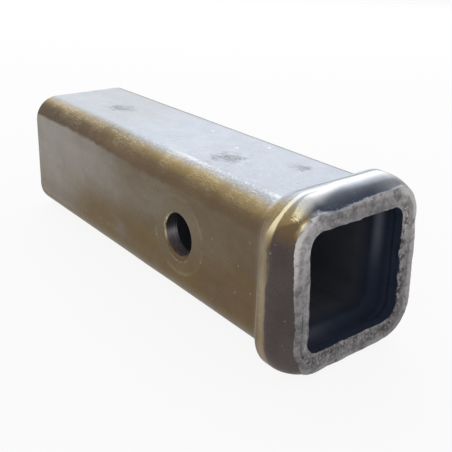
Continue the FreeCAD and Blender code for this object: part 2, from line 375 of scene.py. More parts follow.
def rim_shift(spot, sizes):
    """How far the outside moves by the rim: edge thrown up, creased, drawn in and strayed."""
    y, back = spot.place.y, spot.back
    lift = 0.6 + 0.6 * spot.lumps("lift")
    shift = sizes.rim_lip * (lift * hump(back, LIP_REACH) - 0.2 * hump(back - LIP_HOLLOW, LIP_HOLLOW_REACH))
    crease = spot.above * ease(y, *CREASE_LEFT) * (1.0 - ease(y, *CREASE_RIGHT))
    shift -= sizes.rim_crease * crease * hump(back - CREASE_BACK, CREASE_REACH)
    drawn = spot.left * (0.35 + 1.3 * spot.low) + spot.above * (0.4 + 1.1 * ease(-y, -16 * MM, 18 * MM))
    shift -= sizes.rim_drawn * drawn * (1.0 - ease(back, 0.0, DRAWN_REACH))
    stray = 0.7 * spot.lumps("stray") + 0.3 * spot.lumps("fine_stray")
    return shift + sizes.rim_wander * stray * hump(back, STRAY_REACH)


def skin_shift(spot, sizes):
    """How far the rolled skin waves along the tube, and how far the collar's crown is worn down."""
    wave = spot.cornered * spot.lumps("wave") + 0.35 * spot.lumps("long_wave")
    wave *= ease(spot.back, 16 * MM, 30 * MM) * ease(spot.place.x - LOW.x, 0.0, 8 * MM)
    worn = (1.0 + spot.lumps("crown")) * ease(spot.proud, 3.0 * MM, 5.0 * MM)
    return sizes.skin_wave * (wave - worn)


def burr_push(spot, sizes):
    """How far burrs stand inwards at the mouth, most of all on the right."""
    push = max(spot.lumps("burr"), 0.0) + 0.5 * max(spot.lumps("fine_burr"), 0.0)
    push *= 1.0 + 1.5 * ease(spot.place.y, 18 * MM, 26 * MM)
    return sizes.burr * (0.3 + push) * hump(spot.back, BURR_REACH)


def rim_sink(spot, sizes):
    """How far the rim's face falls back in its hollows and towards its edges."""
    hollow = 0.5 + 0.35 * spot.lumps("hollow") + 0.3 * spot.lumps("fine_hollow")
    crown = ((spot.proud + FACE_MIDDLE) / FACE_HALF) ** 2
    return (sizes.rim_pits * max(hollow, 0.0) + sizes.rim_crown * crown) * hump(spot.back, FACE_REACH)


def roughen_wall(mesh, sizes):
    """Gives the rolled skin its waviness and the rim its thrown-up edge, hollows, burrs and lean."""
    for vert in mesh.verts:
        spot = WallSpot(vert.co, sizes)
        outside = ease(spot.proud, *OUTER_WALL)
        inside = 1.0 - ease(spot.proud, *INNER_WALL)
        shift = rim_shift(spot, sizes) + skin_shift(spot, sizes)
        vert.co += spot.outward * (shift * outside - burr_push(spot, sizes) * inside)
        vert.co.x -= rim_sink(spot, sizes)
        vert.co.y += sizes.rim_skew * spot.low * (1.0 - ease(spot.back, LEAN_FROM, LEAN_TO))


def drill_shape(mesh, sizes):
    """Makes the drill's path through both walls, flared at the outer faces to break the hole's edges."""
    half = sizes.outer_width / 2
    flare = sizes.pin_edge_break
    flared = PIN_RADIUS + 2 * flare
    stops = (
        (-half - flare, flared),
        (-half + flare, PIN_RADIUS),
        (half - flare, PIN_RADIUS),
        (half + flare, flared),
        (half + DRILL_CLEAR, flared),
    )
    reach, wide = -half - DRILL_CLEAR, flared
    bmesh.ops.create_circle(
        mesh, cap_ends=False, radius=wide, segments=DRILL_SIDES,
        matrix=Matrix.Translation((0.0, reach, 0.0)) @ Matrix.Rotation(QUARTER, 4, "X"))
    ring = mesh.edges[:]
    for next_reach, next_wide in stops:
        made = bmesh.ops.extrude_edge_only(mesh, edges=ring)
        ring = [part for part in made["geom"] if isinstance(part, bmesh.types.BMEdge)]
        verts = [part for part in made["geom"] if isinstance(part, bmesh.types.BMVert)]
        ratio = next_wide / wide
        bmesh.ops.scale(mesh, vec=(ratio, 1.0, ratio), verts=verts)
        bmesh.ops.translate(mesh, vec=(0.0, next_reach - reach, 0.0), verts=verts)
        reach, wide = next_reach, next_wide
    bmesh.ops.holes_fill(mesh, edges=mesh.edges, sides=0)
    bmesh.ops.recalc_face_normals(mesh, faces=mesh.faces)


def add_object(name, data):
    """Puts an object with its data into the scene."""
    made = bpy.data.objects.new(name, data)
    bpy.context.scene.collection.objects.link(made)
    return made


def add_mesh(name, mesh):
    """Puts a finished bmesh into the scene."""
    data = bpy.data.meshes.new(name)
    mesh.to_mesh(data)
    mesh.free()
    return add_object(name, data)


def drill_pin_hole(piece, sizes):
    """Cuts the pin hole through both side walls."""
    mesh = bmesh.new()
    drill_shape(mesh, sizes)
    drill = add_mesh("pin_drill", mesh)
    cut = piece.modifiers.new("pin_hole", "BOOLEAN")
    cut.operation = "DIFFERENCE"
    cut.solver = "EXACT"
    cut.object = drill
    whole = piece.data
    drilled = bpy.data.meshes.new_from_object(piece.evaluated_get(bpy.context.evaluated_depsgraph_get()))
    piece.modifiers.clear()
    piece.data = drilled
    drilled.name = PIECE
    spare = drill.data
    bpy.data.objects.remove(drill)
    bpy.data.meshes.remove(spare)
    bpy.data.meshes.remove(whole)


def sort_faces(piece, sizes):
    """Gives each face its finish: rolled skin, cut ends, inner scale or drilled hole."""
    hole_reach = PIN_RADIUS + 1.2 * sizes.pin_edge_break
    rear_reach = 1.2 * sizes.rear_break
    rim_reach = 2.0 * MM
    inner_depth = 1.5 * MM
    for face in piece.data.polygons:
        centre, normal = face.center, face.normal
        spot = WallSpot(centre, sizes)
        if math.hypot(centre.x, centre.z) < hole_reach and abs(normal.y) < 0.9:
            face.material_index = DRILLED
        elif spot.back < rim_reach and normal.x > 0.7:
            face.material_index = CUT
        elif centre.x - LOW.x < rear_reach and normal.x < -0.3:
            face.material_index = CUT
        elif spot.proud < -inner_depth:
            face.material_index = INNER
        else:
            face.material_index = SKIN


class Socket:
    """A number that runs through a finish's nodes, used in plain arithmetic."""

    def __init__(self, finish, output):
        self.finish = finish
        self.output = output

    def math(self, operation, *values):
        return self.finish.node("ShaderNodeMath", {"operation": operation}, dict(enumerate(values)))

    def __add__(self, other):
        return self.math("ADD", self, other)

    __radd__ = __add__

    def __sub__(self, other):
        return self.math("SUBTRACT", self, other)

    def __rsub__(self, other):
        return self.math("SUBTRACT", other, self)

    def __mul__(self, other):
        return self.math("MULTIPLY", self, other)

    __rmul__ = __mul__

    def __truediv__(self, other):
        return self.math("DIVIDE", self, other)

    def __pow__(self, other):
        return self.math("POWER", self, other)

    def __abs__(self):
        return self.math("ABSOLUTE", self)

    def least(self, other):
        return self.math("MINIMUM", self, other)

    def most(self, other):
        return self.math("MAXIMUM", self, other)

    def ease(self, low, high):
        """Rises smoothly from 0 at low to 1 at high."""
        settings = {"interpolation_type": "SMOOTHSTEP"}
        if low < high:
            return self.finish.node("ShaderNodeMapRange", settings, {0: self, 1: low, 2: high})
        return self.finish.node("ShaderNodeMapRange", settings, {0: self, 1: high, 2: low, 3: 1.0, 4: 0.0})

    def hump(self, centre, width):
        """1 at the centre, falling smoothly to 0 at the width on both sides."""
        return abs(self - centre).ease(width, 0.0)


def strongest(shares):
    """The greatest of several shares."""
    return functools.reduce(Socket.most, shares)


def rgba(colour):
    return (*colour, 1.0)


class Finish:
    """The nodes of one finish."""

    def __init__(self, tree):
        self.tree = tree
        self.tree.nodes.clear()

    def node(self, kind, settings=None, sockets=None, output=0):
        """Adds a node, with its settings and then its sockets' values or links. Returns one output."""
        made = self.tree.nodes.new(kind)
        for name, value in (settings or {}).items():
            if name == "stops":
                self.set_stops(made.color_ramp.elements, value)
            else:
                setattr(made, name, value)
        for name, value in (sockets or {}).items():
            if isinstance(value, Socket):
                self.tree.links.new(value.output, made.inputs[name])
            else:
                made.inputs[name].default_value = value
        if len(made.outputs) == 0:
            return None
        return Socket(self, made.outputs[output])

    @staticmethod
    def set_stops(elements, stops):
        while len(elements) < len(stops):
            elements.new(1.0)
        for element, (position, colour) in zip(elements, stops):
            element.position = position
            element.color = rgba(colour)

    def place(self):
        """The place on the piece, in millimetres, as a vector and as its three numbers."""
        spot = self.node("ShaderNodeTexCoord", output="Object")
        spot = self.node("ShaderNodeVectorMath", {"operation": "SCALE"}, {0: spot, "Scale": 1 / MM})
        return (spot, *(self.node("ShaderNodeSeparateXYZ", None, {0: spot}, axis) for axis in "XYZ"))

    def corner_reach(self, sizes, y, z):
        """How far a place lies beyond the flats, across and upward, in millimetres."""
        flat = (sizes.outer_width / 2 - sizes.corner_radius) / MM
        return (abs(y) - flat).most(0.0), (abs(z) - flat).most(0.0)

    def proud(self, sizes, y, z):
        """How far a place stands out from the tube's outside, in millimetres."""
        across, upward = self.corner_reach(sizes, y, z)
        return (across * across + upward * upward) ** 0.5 - sizes.corner_radius / MM

    def turn(self, sizes, y, z):
        """A place's turn round its corner: 0 on the sides, 1 on the top and the bottom."""
        across, upward = self.corner_reach(sizes, y, z)
        return upward.math("ARCTAN2", upward, across) / QUARTER

    def stretch(self, spot, scale=(1.0, 1.0, 1.0), turn=(0.0, 0.0, 0.0), move=(0.0, 0.0, 0.0)):
        return self.node("ShaderNodeMapping", {"vector_type": "POINT"}, {
            "Vector": spot, "Location": move, "Rotation": turn, "Scale": scale})

    def cloud(self, spot, scale, detail=3.0, rough=0.55, twist=0.0):
        """Noise of about 0.5 on average; scale is in lumps per millimetre."""
        return self.node("ShaderNodeTexNoise", None, {
            "Vector": spot, "Scale": scale, "Detail": detail, "Roughness": rough, "Distortion": twist})

    def specks(self, spot, scale, size, share, spread="3D"):
        """Small round specks in a share of the cells, which a flat spread lays out in X and Y."""
        settings = {"voronoi_dimensions": spread}
        cells = {"Vector": spot, "Scale": scale}
        near = self.node("ShaderNodeTexVoronoi", settings, cells, "Distance")
        tint = self.node("ShaderNodeTexVoronoi", settings, cells, "Color")
        pick = self.node("ShaderNodeSeparateColor", None, {0: tint}, "Red")
        return near.ease(size, size * 0.5) * pick.ease(1.0 - share, 1.0 - share + 0.02)

    def scores(self, spot, turn, length, width, share):
        """Fine scratches in one direction."""
        lines = self.cloud(self.stretch(spot, (1 / length, 1 / width, 1 / width), turn), 1.0, 1.0)
        patch = self.cloud(spot, 0.08, 2.0)
        return lines.hump(0.5, 0.025) * patch.ease(1.0 - share, 1.0 - share + 0.12)

    def ramp(self, value, stops):
        """Colours that follow each other as the value rises."""
        return self.node("ShaderNodeValToRGB", {"stops": stops}, {0: value})

    def blend(self, share, under, over):
        """One colour laid over another by its share."""
        tints = [tint if isinstance(tint, Socket) else rgba(tint) for tint in (under, over)]
        return self.node("ShaderNodeMix", {"data_type": "RGBA"}, {0: share, 6: tints[0], 7: tints[1]}, 2)

    def coat(self, colour, *layers):
        """Lays colours over another in turn, each by its share."""
        for share, over in layers:
            colour = self.blend(share, colour, over)
        return colour

    def shade(self, colour, brightness):
        """A colour made lighter or darker."""
        return self.node("ShaderNodeVectorMath", {"operation": "SCALE"}, {0: colour, "Scale": brightness})

    def surface(self, colour, rough, metal, height, depth, shine=0.5):
        """Joins everything to the shader; depth is the relief of the height in millimetres."""
        normal = self.node("ShaderNodeBump", None, {
            "Strength": 1.0, "Distance": depth * MM, "Height": height})
        shader = self.node("ShaderNodeBsdfPrincipled", None, {
            "Base Color": colour, "Roughness": rough, "Metallic": metal, "Normal": normal,
            "Specular IOR Level": shine})
        self.node("ShaderNodeOutputMaterial", None, {"Surface": shader})


def new_finish(name):
    material = bpy.data.materials.new(name)
    material.use_nodes = True
    return material, Finish(material.node_tree)


class SkinField:
    """Places, noises and zones that the parts of the rolled skin share; lengths are in millimetres."""

    def __init__(self, make, sizes):
        spot, x, y, z = make.place()
        turn = make.turn(sizes, y, z)
        self.spot, self.x, self.y, self.z, self.turn = spot, x, y, z, turn
        self.broad = make.cloud(spot, 0.022, 3.0)
        self.streak = make.cloud(make.stretch(spot, (0.012, 0.12, 0.12)), 1.0, 4.0)
        self.mottle = make.cloud(spot, 0.13, 4.0, 0.6)
        self.patchy = make.cloud(make.stretch(spot, (0.6, 1.0, 1.0)), 0.055, 5.0, 0.62)
        self.fine = make.cloud(spot, 0.9, 4.0, 0.65)

        self.ahead = x - HIGH.x / MM
        self.along = x.ease(LOW.x / MM + 5, 15.0)
        self.above = z.ease(-2.0, 2.0)
        self.near = y.ease(10.0, -5.0)
        self.over = y.ease(-20.0, 0.0)
        self.flat_side = turn.ease(0.1, 0.0)
        self.collar = make.proud(sizes, y, z).ease(0.3, 2.0)
        wavy = turn + (self.mottle - 0.5) * 0.16 + (self.streak - 0.5) * 0.12 + (self.fine - 0.5) * 0.1
        self.wavy = wavy + x.ease(5.0, 60.0) * 0.08 - x.ease(-20.0, -100.0) * 0.12
        self.top = self.wavy.ease(0.66, 0.9) * self.above
        self.jagged = (self.mottle - 0.5) * 1.6 + (self.fine - 0.5) * 1.4
        self.wander = self.ahead + self.jagged + (self.broad - 0.5) * 1.5


def tint_sides(make, field, colours):
    """Grey rear, browned front, a painted warm reflection in olive low down and russet by the collar, and
    the share that is browned.
    """
    x, z, along, patchy = field.x, field.z, field.along, field.patchy
    low = z.ease(12.0, -28.0)
    browned = along + low * 0.55 + (patchy - 0.5) * 1.1 + (field.broad - 0.5) * 0.3
    browned = browned.least(1.0).most(0.0)
    # Painted warm reflection: olive low on the sides, away from the rear.
    olive = low.ease(0.0, 0.7) * along.ease(0.0, 0.4) * patchy.ease(0.25, 0.5)
    russet = z.ease(8.0, -18.0) * x.ease(5.0, 40.0) * patchy.ease(0.2, 0.5)
    side = make.coat(
        colours.rear, (browned, colours.front), (olive, colours.olive), (russet, colours.russet))
    return make.shade(side, 0.84 + field.streak * 0.32), browned


def tint_corners(make, field, colours, side):
    """Painted reflection bands round the corners: brown to straw round the upper corners, with a painted
    highlight in pale, up to the top, and olive to bronze round the lower ones.
    """
    along, wavy = field.along, field.wavy
    upper = make.ramp(wavy, (
        (0.24, colours.brown), (0.39, colours.bronze), (0.50, colours.gold), (0.64, colours.straw),
        (0.80, colours.pale), (0.96, colours.top)))
    # Painted light and shade along the corners: lighter towards the collar, the top evened out along the
    # tube, and around 60 mm behind the pin hole the gold band dimmed and the brown lifted.
    even = wavy.ease(0.7, 0.95) * (0.17 - along * 0.15)
    painted_shade = field.x.hump(-62.0, 52.0) * (wavy.hump(0.65, 0.3) * 0.36 - wavy.hump(0.25, 0.2) * 0.22)
    upper = make.shade(upper, 0.72 + along * 0.3 + even - painted_shade)
    lower = make.ramp(wavy, ((0.10, colours.olive), (0.45, colours.bronze), (1.0, colours.front)))
    skin = make.blend(field.above, lower, upper)
    skin = make.blend(wavy.ease(0.13, 0.03), skin, side)
    return make.shade(skin, 0.9 + field.patchy * 0.2)


def paint_ridge_highlight_and_shade(make, field, colours, skin):
    """Painted highlight on the ridge behind the collar's crown and painted shade, a dark reflection, in
    front of it, and that shade's share.
    """
    y, z, turn, above, wander = field.y, field.z, field.turn, field.above, field.wander
    # Painted highlight along the ridge, brighter halfway up the sides.
    ridge_foot, ridge_rise, ridge_end = (-21.5, -19.0), (-15.6, -13.6), (-10.0, -11.4)
    back = (wander.ease(*ridge_foot) * 0.55).most(wander.ease(*ridge_rise)) * wander.ease(*ridge_end)
    back = back * (0.7 + field.mottle.ease(0.4, 0.6) * 0.3)
    ridge = make.shade(colours.ridge, 1.0 + z.hump(-2.0, 16.0) * 0.28)
    skin = make.blend(back * field.collar * turn.ease(0.5, 0.2) * 0.95, skin, ridge)

    # Painted shade on the collar's front: dark brown on the sides to dark blue on top, with less of it and
    # a painted pale reflection at the far top corner.
    high = z.ease(1.0, 12.0) + z.ease(-12.0, -22.0) * 0.6
    onset = high * 1.6 + turn.ease(0.25, 0.5) * 5.2 * above - turn.ease(0.6, 0.9) * 4.4 * above - 11.6
    span = turn.ease(0.5, 0.9) * 5.2 * above + 1.3
    front = ((wander - onset) / span).ease(0.0, 1.0) * wander.ease(-13.0, -11.0)
    front = front * (1.0 - y.ease(14.0, 24.0) * turn.ease(0.3, 0.6) * above * 0.6)
    scale = make.ramp(turn, (
        (0.08, colours.flank), (0.28, colours.brown), (0.5, colours.bronze), (0.66, colours.bronze),
        (0.85, colours.blue)))
    scale = make.blend(above, colours.flank, scale)
    scale = make.blend(y.ease(6.0, 22.0) * above * turn.ease(0.25, 0.6) * 0.65, scale, colours.pale)
    scale = make.shade(scale, 0.55 + field.mottle * 0.5 + field.patchy * 0.4)
    return make.blend(front, skin, scale), front


def paint_collar_highlights(make, field, colours, skin):
    """Painted highlights: bright streaks behind and along the collar's crown and round its corner, and on
    the rim's lip.
    """
    turn, above, ahead, wander = field.turn, field.above, field.ahead, field.wander
    # Painted highlight streak along the back of the crown.
    lead_path = turn.ease(0.0, 0.55) * 1.7 - turn.ease(0.7, 1.0) * 0.9 - 11.8
    lead_width = 1.9 - turn.ease(0.15, 0.55) * 0.9
    lead = (ahead + field.jagged * 0.35 - lead_path) / lead_width
    lead = abs(lead).ease(1.15, 0.6) * turn.ease(-0.02, 0.36) * above

    # Painted highlight along the crown, broken up by hatching.
    hatch = make.cloud(make.stretch(field.spot, (0.15, 1.0, 1.0), (0.5, 0.2, 0.6)), 1.4, 2.0, 0.6)
    crown_path = -4.5 - turn.ease(0.5, 1.05) * 3.1 - field.over * 3.6
    crown_width = 2.3 - turn.ease(0.65, 0.9) * 0.3
    crown = (ahead + field.jagged * 0.6 - crown_path) / crown_width
    faded = crown / (1.0 + turn.ease(0.6, 0.9) * 0.6)
    crown = crown.ease(-1.15, -0.6) * faded.ease(1.25, 0.1)
    crown = crown * (turn + (hatch - 0.5) * 0.3).ease(0.47, 0.58) * above
    crown = crown * (1.0 - hatch.hump(0.5, 0.03) * turn.ease(0.95, 0.75) * 0.5)

    # Painted highlight at the rim's corner and a faint painted sheen on the collar.
    corner_lip = wander.hump(-0.9, 2.0) * turn.hump(0.5, 0.27) * above
    sheen = wander.hump(-12.6, 1.0) * 0.15 * field.collar
    streaks = strongest((lead, crown, corner_lip, sheen))
    crest = make.blend(streaks.ease(0.45, 1.0), colours.crest_edge, colours.crest)
    crest = make.blend(field.top.most(turn.ease(0.52, 0.9) * above * 0.7), crest, colours.crest_top)
    skin = make.blend(streaks, skin, crest)
    # Painted highlight along the rim's lip, in the top's colour.
    ragged = make.cloud(field.spot, 0.35, 3.0, 0.6)
    lip = (wander + (ragged - 0.5) * 1.2).ease(-2.9, -1.9) * turn.ease(0.6, 0.85) * above
    return make.blend(lip, skin, colours.top)


def paint_shade_lines(make, field, colours, skin):
    """Painted shade lines behind the collar's crown and along the far top corner, and their share."""
    turn = field.turn
    line = field.ahead.hump(-13.9, 0.9) * field.over.most(turn.ease(0.8, 1.0)) * turn.ease(0.4, 0.7) * 0.7
    far_edge = turn.ease(0.95, 0.82) * turn.ease(0.3, 0.55) * field.y.ease(0.0, 5.0)
    painted_shade = line.most(far_edge * (0.8 - field.collar * 0.55)) * field.above
    return make.blend(painted_shade, skin, colours.smudge_and_shade), painted_shade


def mark_top(make, field, colours, skin):
    """Speckled handling marks and small bright curls on the top, and the handling marks' share."""
    x, y = field.x, field.y
    ragged = make.cloud(make.stretch(field.spot, (0.5, 1.0, 1.0)), 0.4, 3.0, 0.6)
    speckle = make.cloud(field.spot, 1.5, 3.0, 0.6).ease(0.48, 0.6)
    patches, curls = [], []
    for centre_x, centre_y, long, wide in SMUDGES:
        off = (((x - centre_x) / long) ** 2.0 + ((y - centre_y) / wide) ** 2.0) ** 0.5
        patches.append((off + (ragged - 0.5) * 3.0).ease(1.1, 0.2))
    for centre_x, centre_y in CURLS:
        off = ((x - centre_x) ** 2.0 + (y - centre_y) ** 2.0) ** 0.5
        curls.append(off.hump(0.9, 0.45) * (y - centre_y).ease(-0.5, 0.3) * 0.6)
    smudges = strongest(patches) * field.top * (speckle * 0.75 + 0.25)
    skin = make.blend(smudges * 0.7, skin, colours.smudge_and_shade)
    return make.blend(strongest(curls) * field.top, skin, colours.crest), smudges


def mark_pin_hole(make, field, colours, skin):
    """Ring worn by a washer, rust with dark flecks under the hole, and a painted highlight beside it, on
    the rear side of its edge.
    """
    x, z, mottle, fine, flat_side = field.x, field.z, field.mottle, field.fine, field.flat_side
    from_pin = (x * x + z * z) ** 0.5
    washer = from_pin.hump(17.6, 1.4) * 0.6 + from_pin.ease(18.0, 15.0) * 0.25
    washer = washer * flat_side * field.patchy.ease(0.36, 0.6) * field.streak.ease(0.3, 0.55)
    below = ((z - x * 0.05) / from_pin).ease(-0.55, -0.95)
    worn = from_pin - below * 1.6 + (mottle - 0.5) * 0.8
    rust = worn.ease(10.9, 10.2) * below.ease(0.0, 0.3) * flat_side
    stain = rust * fine.ease(0.44, 0.54) * (0.6 + x.ease(1.0, -5.0) * 0.4)
    rust_edge = worn.hump(10.5, 0.5) * below * flat_side * fine.ease(0.4, 0.55)
    # Painted highlight beside the hole, on the rear side of its edge, broken up by mottling.
    painted_pin_edge_highlight = from_pin.hump(10.3, 1.0) * x.ease(-4.5, -8.0) * z.hump(1.0, 8.0) * mottle.ease(0.36, 0.52)
    return make.coat(
        skin, (washer * 0.75, colours.ridge), (rust, colours.rust), (stain, colours.stain),
        (rust_edge, colours.straw), (painted_pin_edge_highlight * 0.7, colours.crest_edge))


def speckle_skin(make, field, colours, skin, front):
    """Dark and light specks, with more light ones on the collar's dark front, and the dark ones' share."""
    spot, flat_side = field.spot, field.flat_side
    turned = make.stretch(spot, turn=(0.3, 0.2, 0.1))
    side_spot = make.stretch(spot, turn=(QUARTER, 0.0, 0.0))
    dark = make.specks(spot, 0.2, 0.11, 0.22)
    dark = dark.most(make.specks(side_spot, 0.14, 0.075, 0.3, "2D") * flat_side)
    light = make.specks(turned, 0.16, 0.085, 0.22)
    light = light.most(make.specks(spot, 0.3, 0.12, 0.25) * front * 0.7)
    light = light.most(make.specks(side_spot, 0.12, 0.06, 0.3, "2D") * flat_side)
    return make.coat(skin, (dark * 0.55, colours.smudge_and_shade), (light * 0.6, colours.cut_bright)), dark


def scratch_skin(make, field, colours, skin):
    """Fine scratches, most of them round the upper corners, and their share."""
    rolled = field.turn.hump(0.6, 0.4) * field.above
    lengthwise = make.scores(field.spot, (0.0, 0.0, 0.1), 30.0, 0.7, 0.5)
    crossed = make.scores(field.spot, (0.5, 0.9, 0.4), 9.0, 0.45, 0.6)
    raked = make.scores(field.spot, (-0.6, -0.5, 0.8), 7.0, 0.4, 0.6)
    marks = (lengthwise * (rolled * 0.6 + 0.08)).most(crossed.most(raked) * (rolled * 0.7 + 0.08))
    return make.blend(marks * (0.12 + field.near * 0.34), skin, colours.crest), marks


def paint_edge_glints(make, field, colours, skin):
    """Painted highlight glints and glitter along the top's near edge."""
    turn, fine = field.turn, field.fine
    painted_glitter = fine.ease(0.54, 0.64) * turn.hump(0.82, 0.25) * field.along * 0.7 * field.above
    glint = turn.hump(0.9, 0.1) * (fine * 0.6 + field.patchy * 0.7 + field.streak * 0.4).ease(0.76, 0.96)
    glint = glint * field.x.hump(34.0, 72.0).ease(0.0, 0.5) * field.above
    bright = painted_glitter.most(glint) * 0.75 * field.near * (1.0 - field.collar)
    return make.blend(bright, skin, colours.crest_top)


def rolled_skin(sizes, colours):
    """Worn mill skin: bright top, straw and brown corners painted as reflection bands, browned sides,
    painted shade on the collar's front and painted highlights on its crown.
    """
    material, make = new_finish("rolled_skin")
    field = SkinField(make, sizes)
    side, browned = tint_sides(make, field, colours)
    skin = tint_corners(make, field, colours, side)
    skin, front = paint_ridge_highlight_and_shade(make, field, colours, skin)
    skin = paint_collar_highlights(make, field, colours, skin)
    skin, painted_shade = paint_shade_lines(make, field, colours, skin)
    skin, smudges = mark_top(make, field, colours, skin)
    skin = mark_pin_hole(make, field, colours, skin)
    skin, specks = speckle_skin(make, field, colours, skin, front)
    skin, marks = scratch_skin(make, field, colours, skin)
    skin = paint_edge_glints(make, field, colours, skin)
    skin = make.shade(skin, 0.86 + field.fine * 0.28)

    rough = 0.44 - field.top * 0.04 + (field.mottle - 0.5) * 0.16 + smudges * 0.2 - marks * 0.06
    metal = 0.9 - browned * 0.1 - smudges * 0.4 - painted_shade * 0.6
    height = field.fine * 0.5 + field.mottle * 0.6 - marks * 0.25 - specks * 0.5
    make.surface(skin, rough, metal, height, 0.06)
    return material


def cut_end(sizes, colours):
    """Rough cropped rim at the mouth, with painted light and shade on its face and painted highlights along
    its edges, and the sawn rear end.
    """
    material, make = new_finish("cut_end")
    spot, x, y, z = make.place()
    proud = make.proud(sizes, y, z)
    lump = make.cloud(spot, 0.16, 5.0, 0.62, 0.4)
    dent = make.cloud(make.stretch(spot, turn=(0.4, 0.0, 0.0), move=(7.0, 3.0, 1.0)), 0.26, 4.0, 0.62)
    grit = make.cloud(spot, 0.75, 4.0, 0.7)
    saw = make.cloud(make.stretch(spot, (0.2, 0.02, 2.2)), 1.0, 2.0)
    rear = x.ease(0.0, -10.0)
    rim = 1.0 - rear
    left_high = y.ease(-14.0, -26.0) * z.ease(2.0, 20.0)
    right = y.ease(18.0, 27.0)
    bottom = z.ease(-20.0, -27.0)
    inward = proud.ease(-1.6, -4.2)

    broken = ((right * z.ease(24.0, 12.0)).most(bottom) * inward).most(0.3)
    pits = (dent.ease(0.52, 0.4) * (0.5 + grit.ease(0.56, 0.44)) * broken).least(1.0)
    torn = right * inward * dent.ease(0.54, 0.44) * rim
    # Painted highlights along the rim's outer and inner edges, and bright flecks.
    edges = proud.ease(-1.4, 0.4).most(proud.hump(-6.4, 0.9) * 0.6) * lump.ease(0.34, 0.5)
    flecks = grit.ease(0.55, 0.62) * (bottom.most(right * inward) * 0.9 + 0.15)
    # Painted light and shade on the rim's face: lighter high on the left and high on the right, darker at
    # the bottom and low on the right; saw marks on the rear end.
    light = 0.47 + grit * 0.8 + left_high * 0.45 - bottom * 0.28 - right * z.ease(14.0, 0.0) * 0.12
    light = light + right * z.ease(8.0, 18.0) * 0.3 + rear * (saw - 0.5) * 0.5
    colour = make.coat(
        colours.cut, (lump.ease(0.38, 0.64), colours.cut_bright), (pits * 0.65 * rim, colours.cut_dark),
        (torn * 0.45, colours.stain), (edges.most(flecks) * 0.8 * rim, colours.cut_edge))
    colour = make.shade(colour, light)

    rough = 0.46 + (grit - 0.5) * 0.3
    height = (lump * 0.6 + dent * 0.35 + grit * 0.15 - pits * 0.4) * (1.0 - rear * 0.8) + saw * rear * 0.2
    make.surface(colour, rough, 0.8, height, 0.7)
    return material


def inner_scale(sizes, colours):
    """Dark bluish mill scale inside the tube, with a painted highlight at the back of the groove and
    painted light in the shaded front of the groove.
    """
    material, make = new_finish("inner_scale")
    spot, x, y, z = make.place()
    turn = make.turn(sizes, y, z)
    mouth = HIGH.x / MM
    mottle = make.cloud(spot, 0.12, 4.0, 0.6)
    streak = make.cloud(make.stretch(spot, (0.01, 0.3, 0.3)), 1.0, 3.0)
    by_mouth = x.ease(mouth - 24.0, mouth - 14.0)
    # Painted highlight along the back of the groove, on the right wall and low down, kept off the corners.
    right_band = x.hump(mouth - 13.5, 3.2) * y.ease(12.0, 20.0) * z.ease(-14.0, 8.0)
    low_band = x.hump(mouth - 13.0, 7.0) * z.ease(-14.0, -20.0) * y.ease(8.0, -10.0) * 0.6
    groove_highlight_share = right_band.most(low_band) * turn.hump(0.5, 0.5).ease(0.6, 0.0)
    # Painted light in the shaded front of the groove.
    painted_groove_fill = 1.0 + x.hump(mouth - 7.0, 4.0)
    colour = make.coat(colours.inner, (by_mouth, colours.inner_lip), (groove_highlight_share, colours.groove_highlight_colour))
    colour = make.shade(colour, (0.6 + mottle * 0.5 + streak * 0.3) * painted_groove_fill)
    rough = 0.8 - groove_highlight_share * 0.3 + (mottle - 0.5) * 0.2
    make.surface(colour, rough, groove_highlight_share * 0.3, mottle * 0.6 + streak * 0.4, 0.08, 0.2)
    return material


def drilled_wall(sizes, colours):
    """Turned rings left by the drill, with rust low in the hole and nicks round its edge; the lower wall
    painted lighter as its lit side, and a painted highlight on the edge's rear and upper parts.
    """
    material, make = new_finish("drilled_wall")
    spot, x, y, z = make.place()
    rings = make.cloud(make.stretch(spot, (0.03, 1.6, 0.03)), 1.0, 2.0)
    mottle = make.cloud(spot, 0.3, 4.0, 0.6)
    nicked = make.cloud(spot, 0.35, 3.0, 0.6)
    face = sizes.outer_width / 2 / MM
    edge = abs(y).ease(face - 0.75, face - 0.55)
    low = z.ease(1.0, -9.0)
    # Painted highlight on the rear and upper parts of the hole's edge, broken up into nicks.
    lit = x.ease(-4.0, -8.0) * z.ease(-7.0, -2.0) * nicked.ease(0.36, 0.56)
    lit = lit.most(z.ease(5.5, 9.0) * 0.5)
    colour = make.blend(low * mottle.ease(0.35, 0.6) * 0.6, colours.drilled, colours.rust)
    # The lower wall painted lighter, as the side that the light falls on.
    colour = make.shade(colour, (0.3 + rings * 1.4) * (1.0 + low * 2.1))
    colour = make.coat(
        colour, (edge, colours.front), (edge * z.ease(-4.5, -8.0) * 0.7, colours.rust),
        (edge * nicked.ease(0.42, 0.34) * 0.6, colours.stain), (edge * lit * 0.45, colours.crest))
    make.surface(colour, 0.34 + mottle * 0.15, 0.9, rings, 0.06)
    return material


class RECEIVER_OT_form_wall(bpy.types.Operator):
    """Forms the tube's wall with its rolled collar and drills the pin hole"""

    bl_idname = "receiver.form_wall"
    bl_label = "Form and Drill the Tube"

    def execute(self, context):
        sizes = context.scene.tube_sizes
        mesh = bmesh.new()
        draw_section(mesh, sizes)
        sweep_section(mesh, sizes)
        roughen_wall(mesh, sizes)
        piece = add_mesh(PIECE, mesh)
        drill_pin_hole(piece, sizes)
        sort_faces(piece, sizes)
        piece.data.shade_smooth()
        piece.data.set_sharp_from_angle(angle=SHARP_ANGLE)
        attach(piece, BODY)
        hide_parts(NODE)
        return {"FINISHED"}


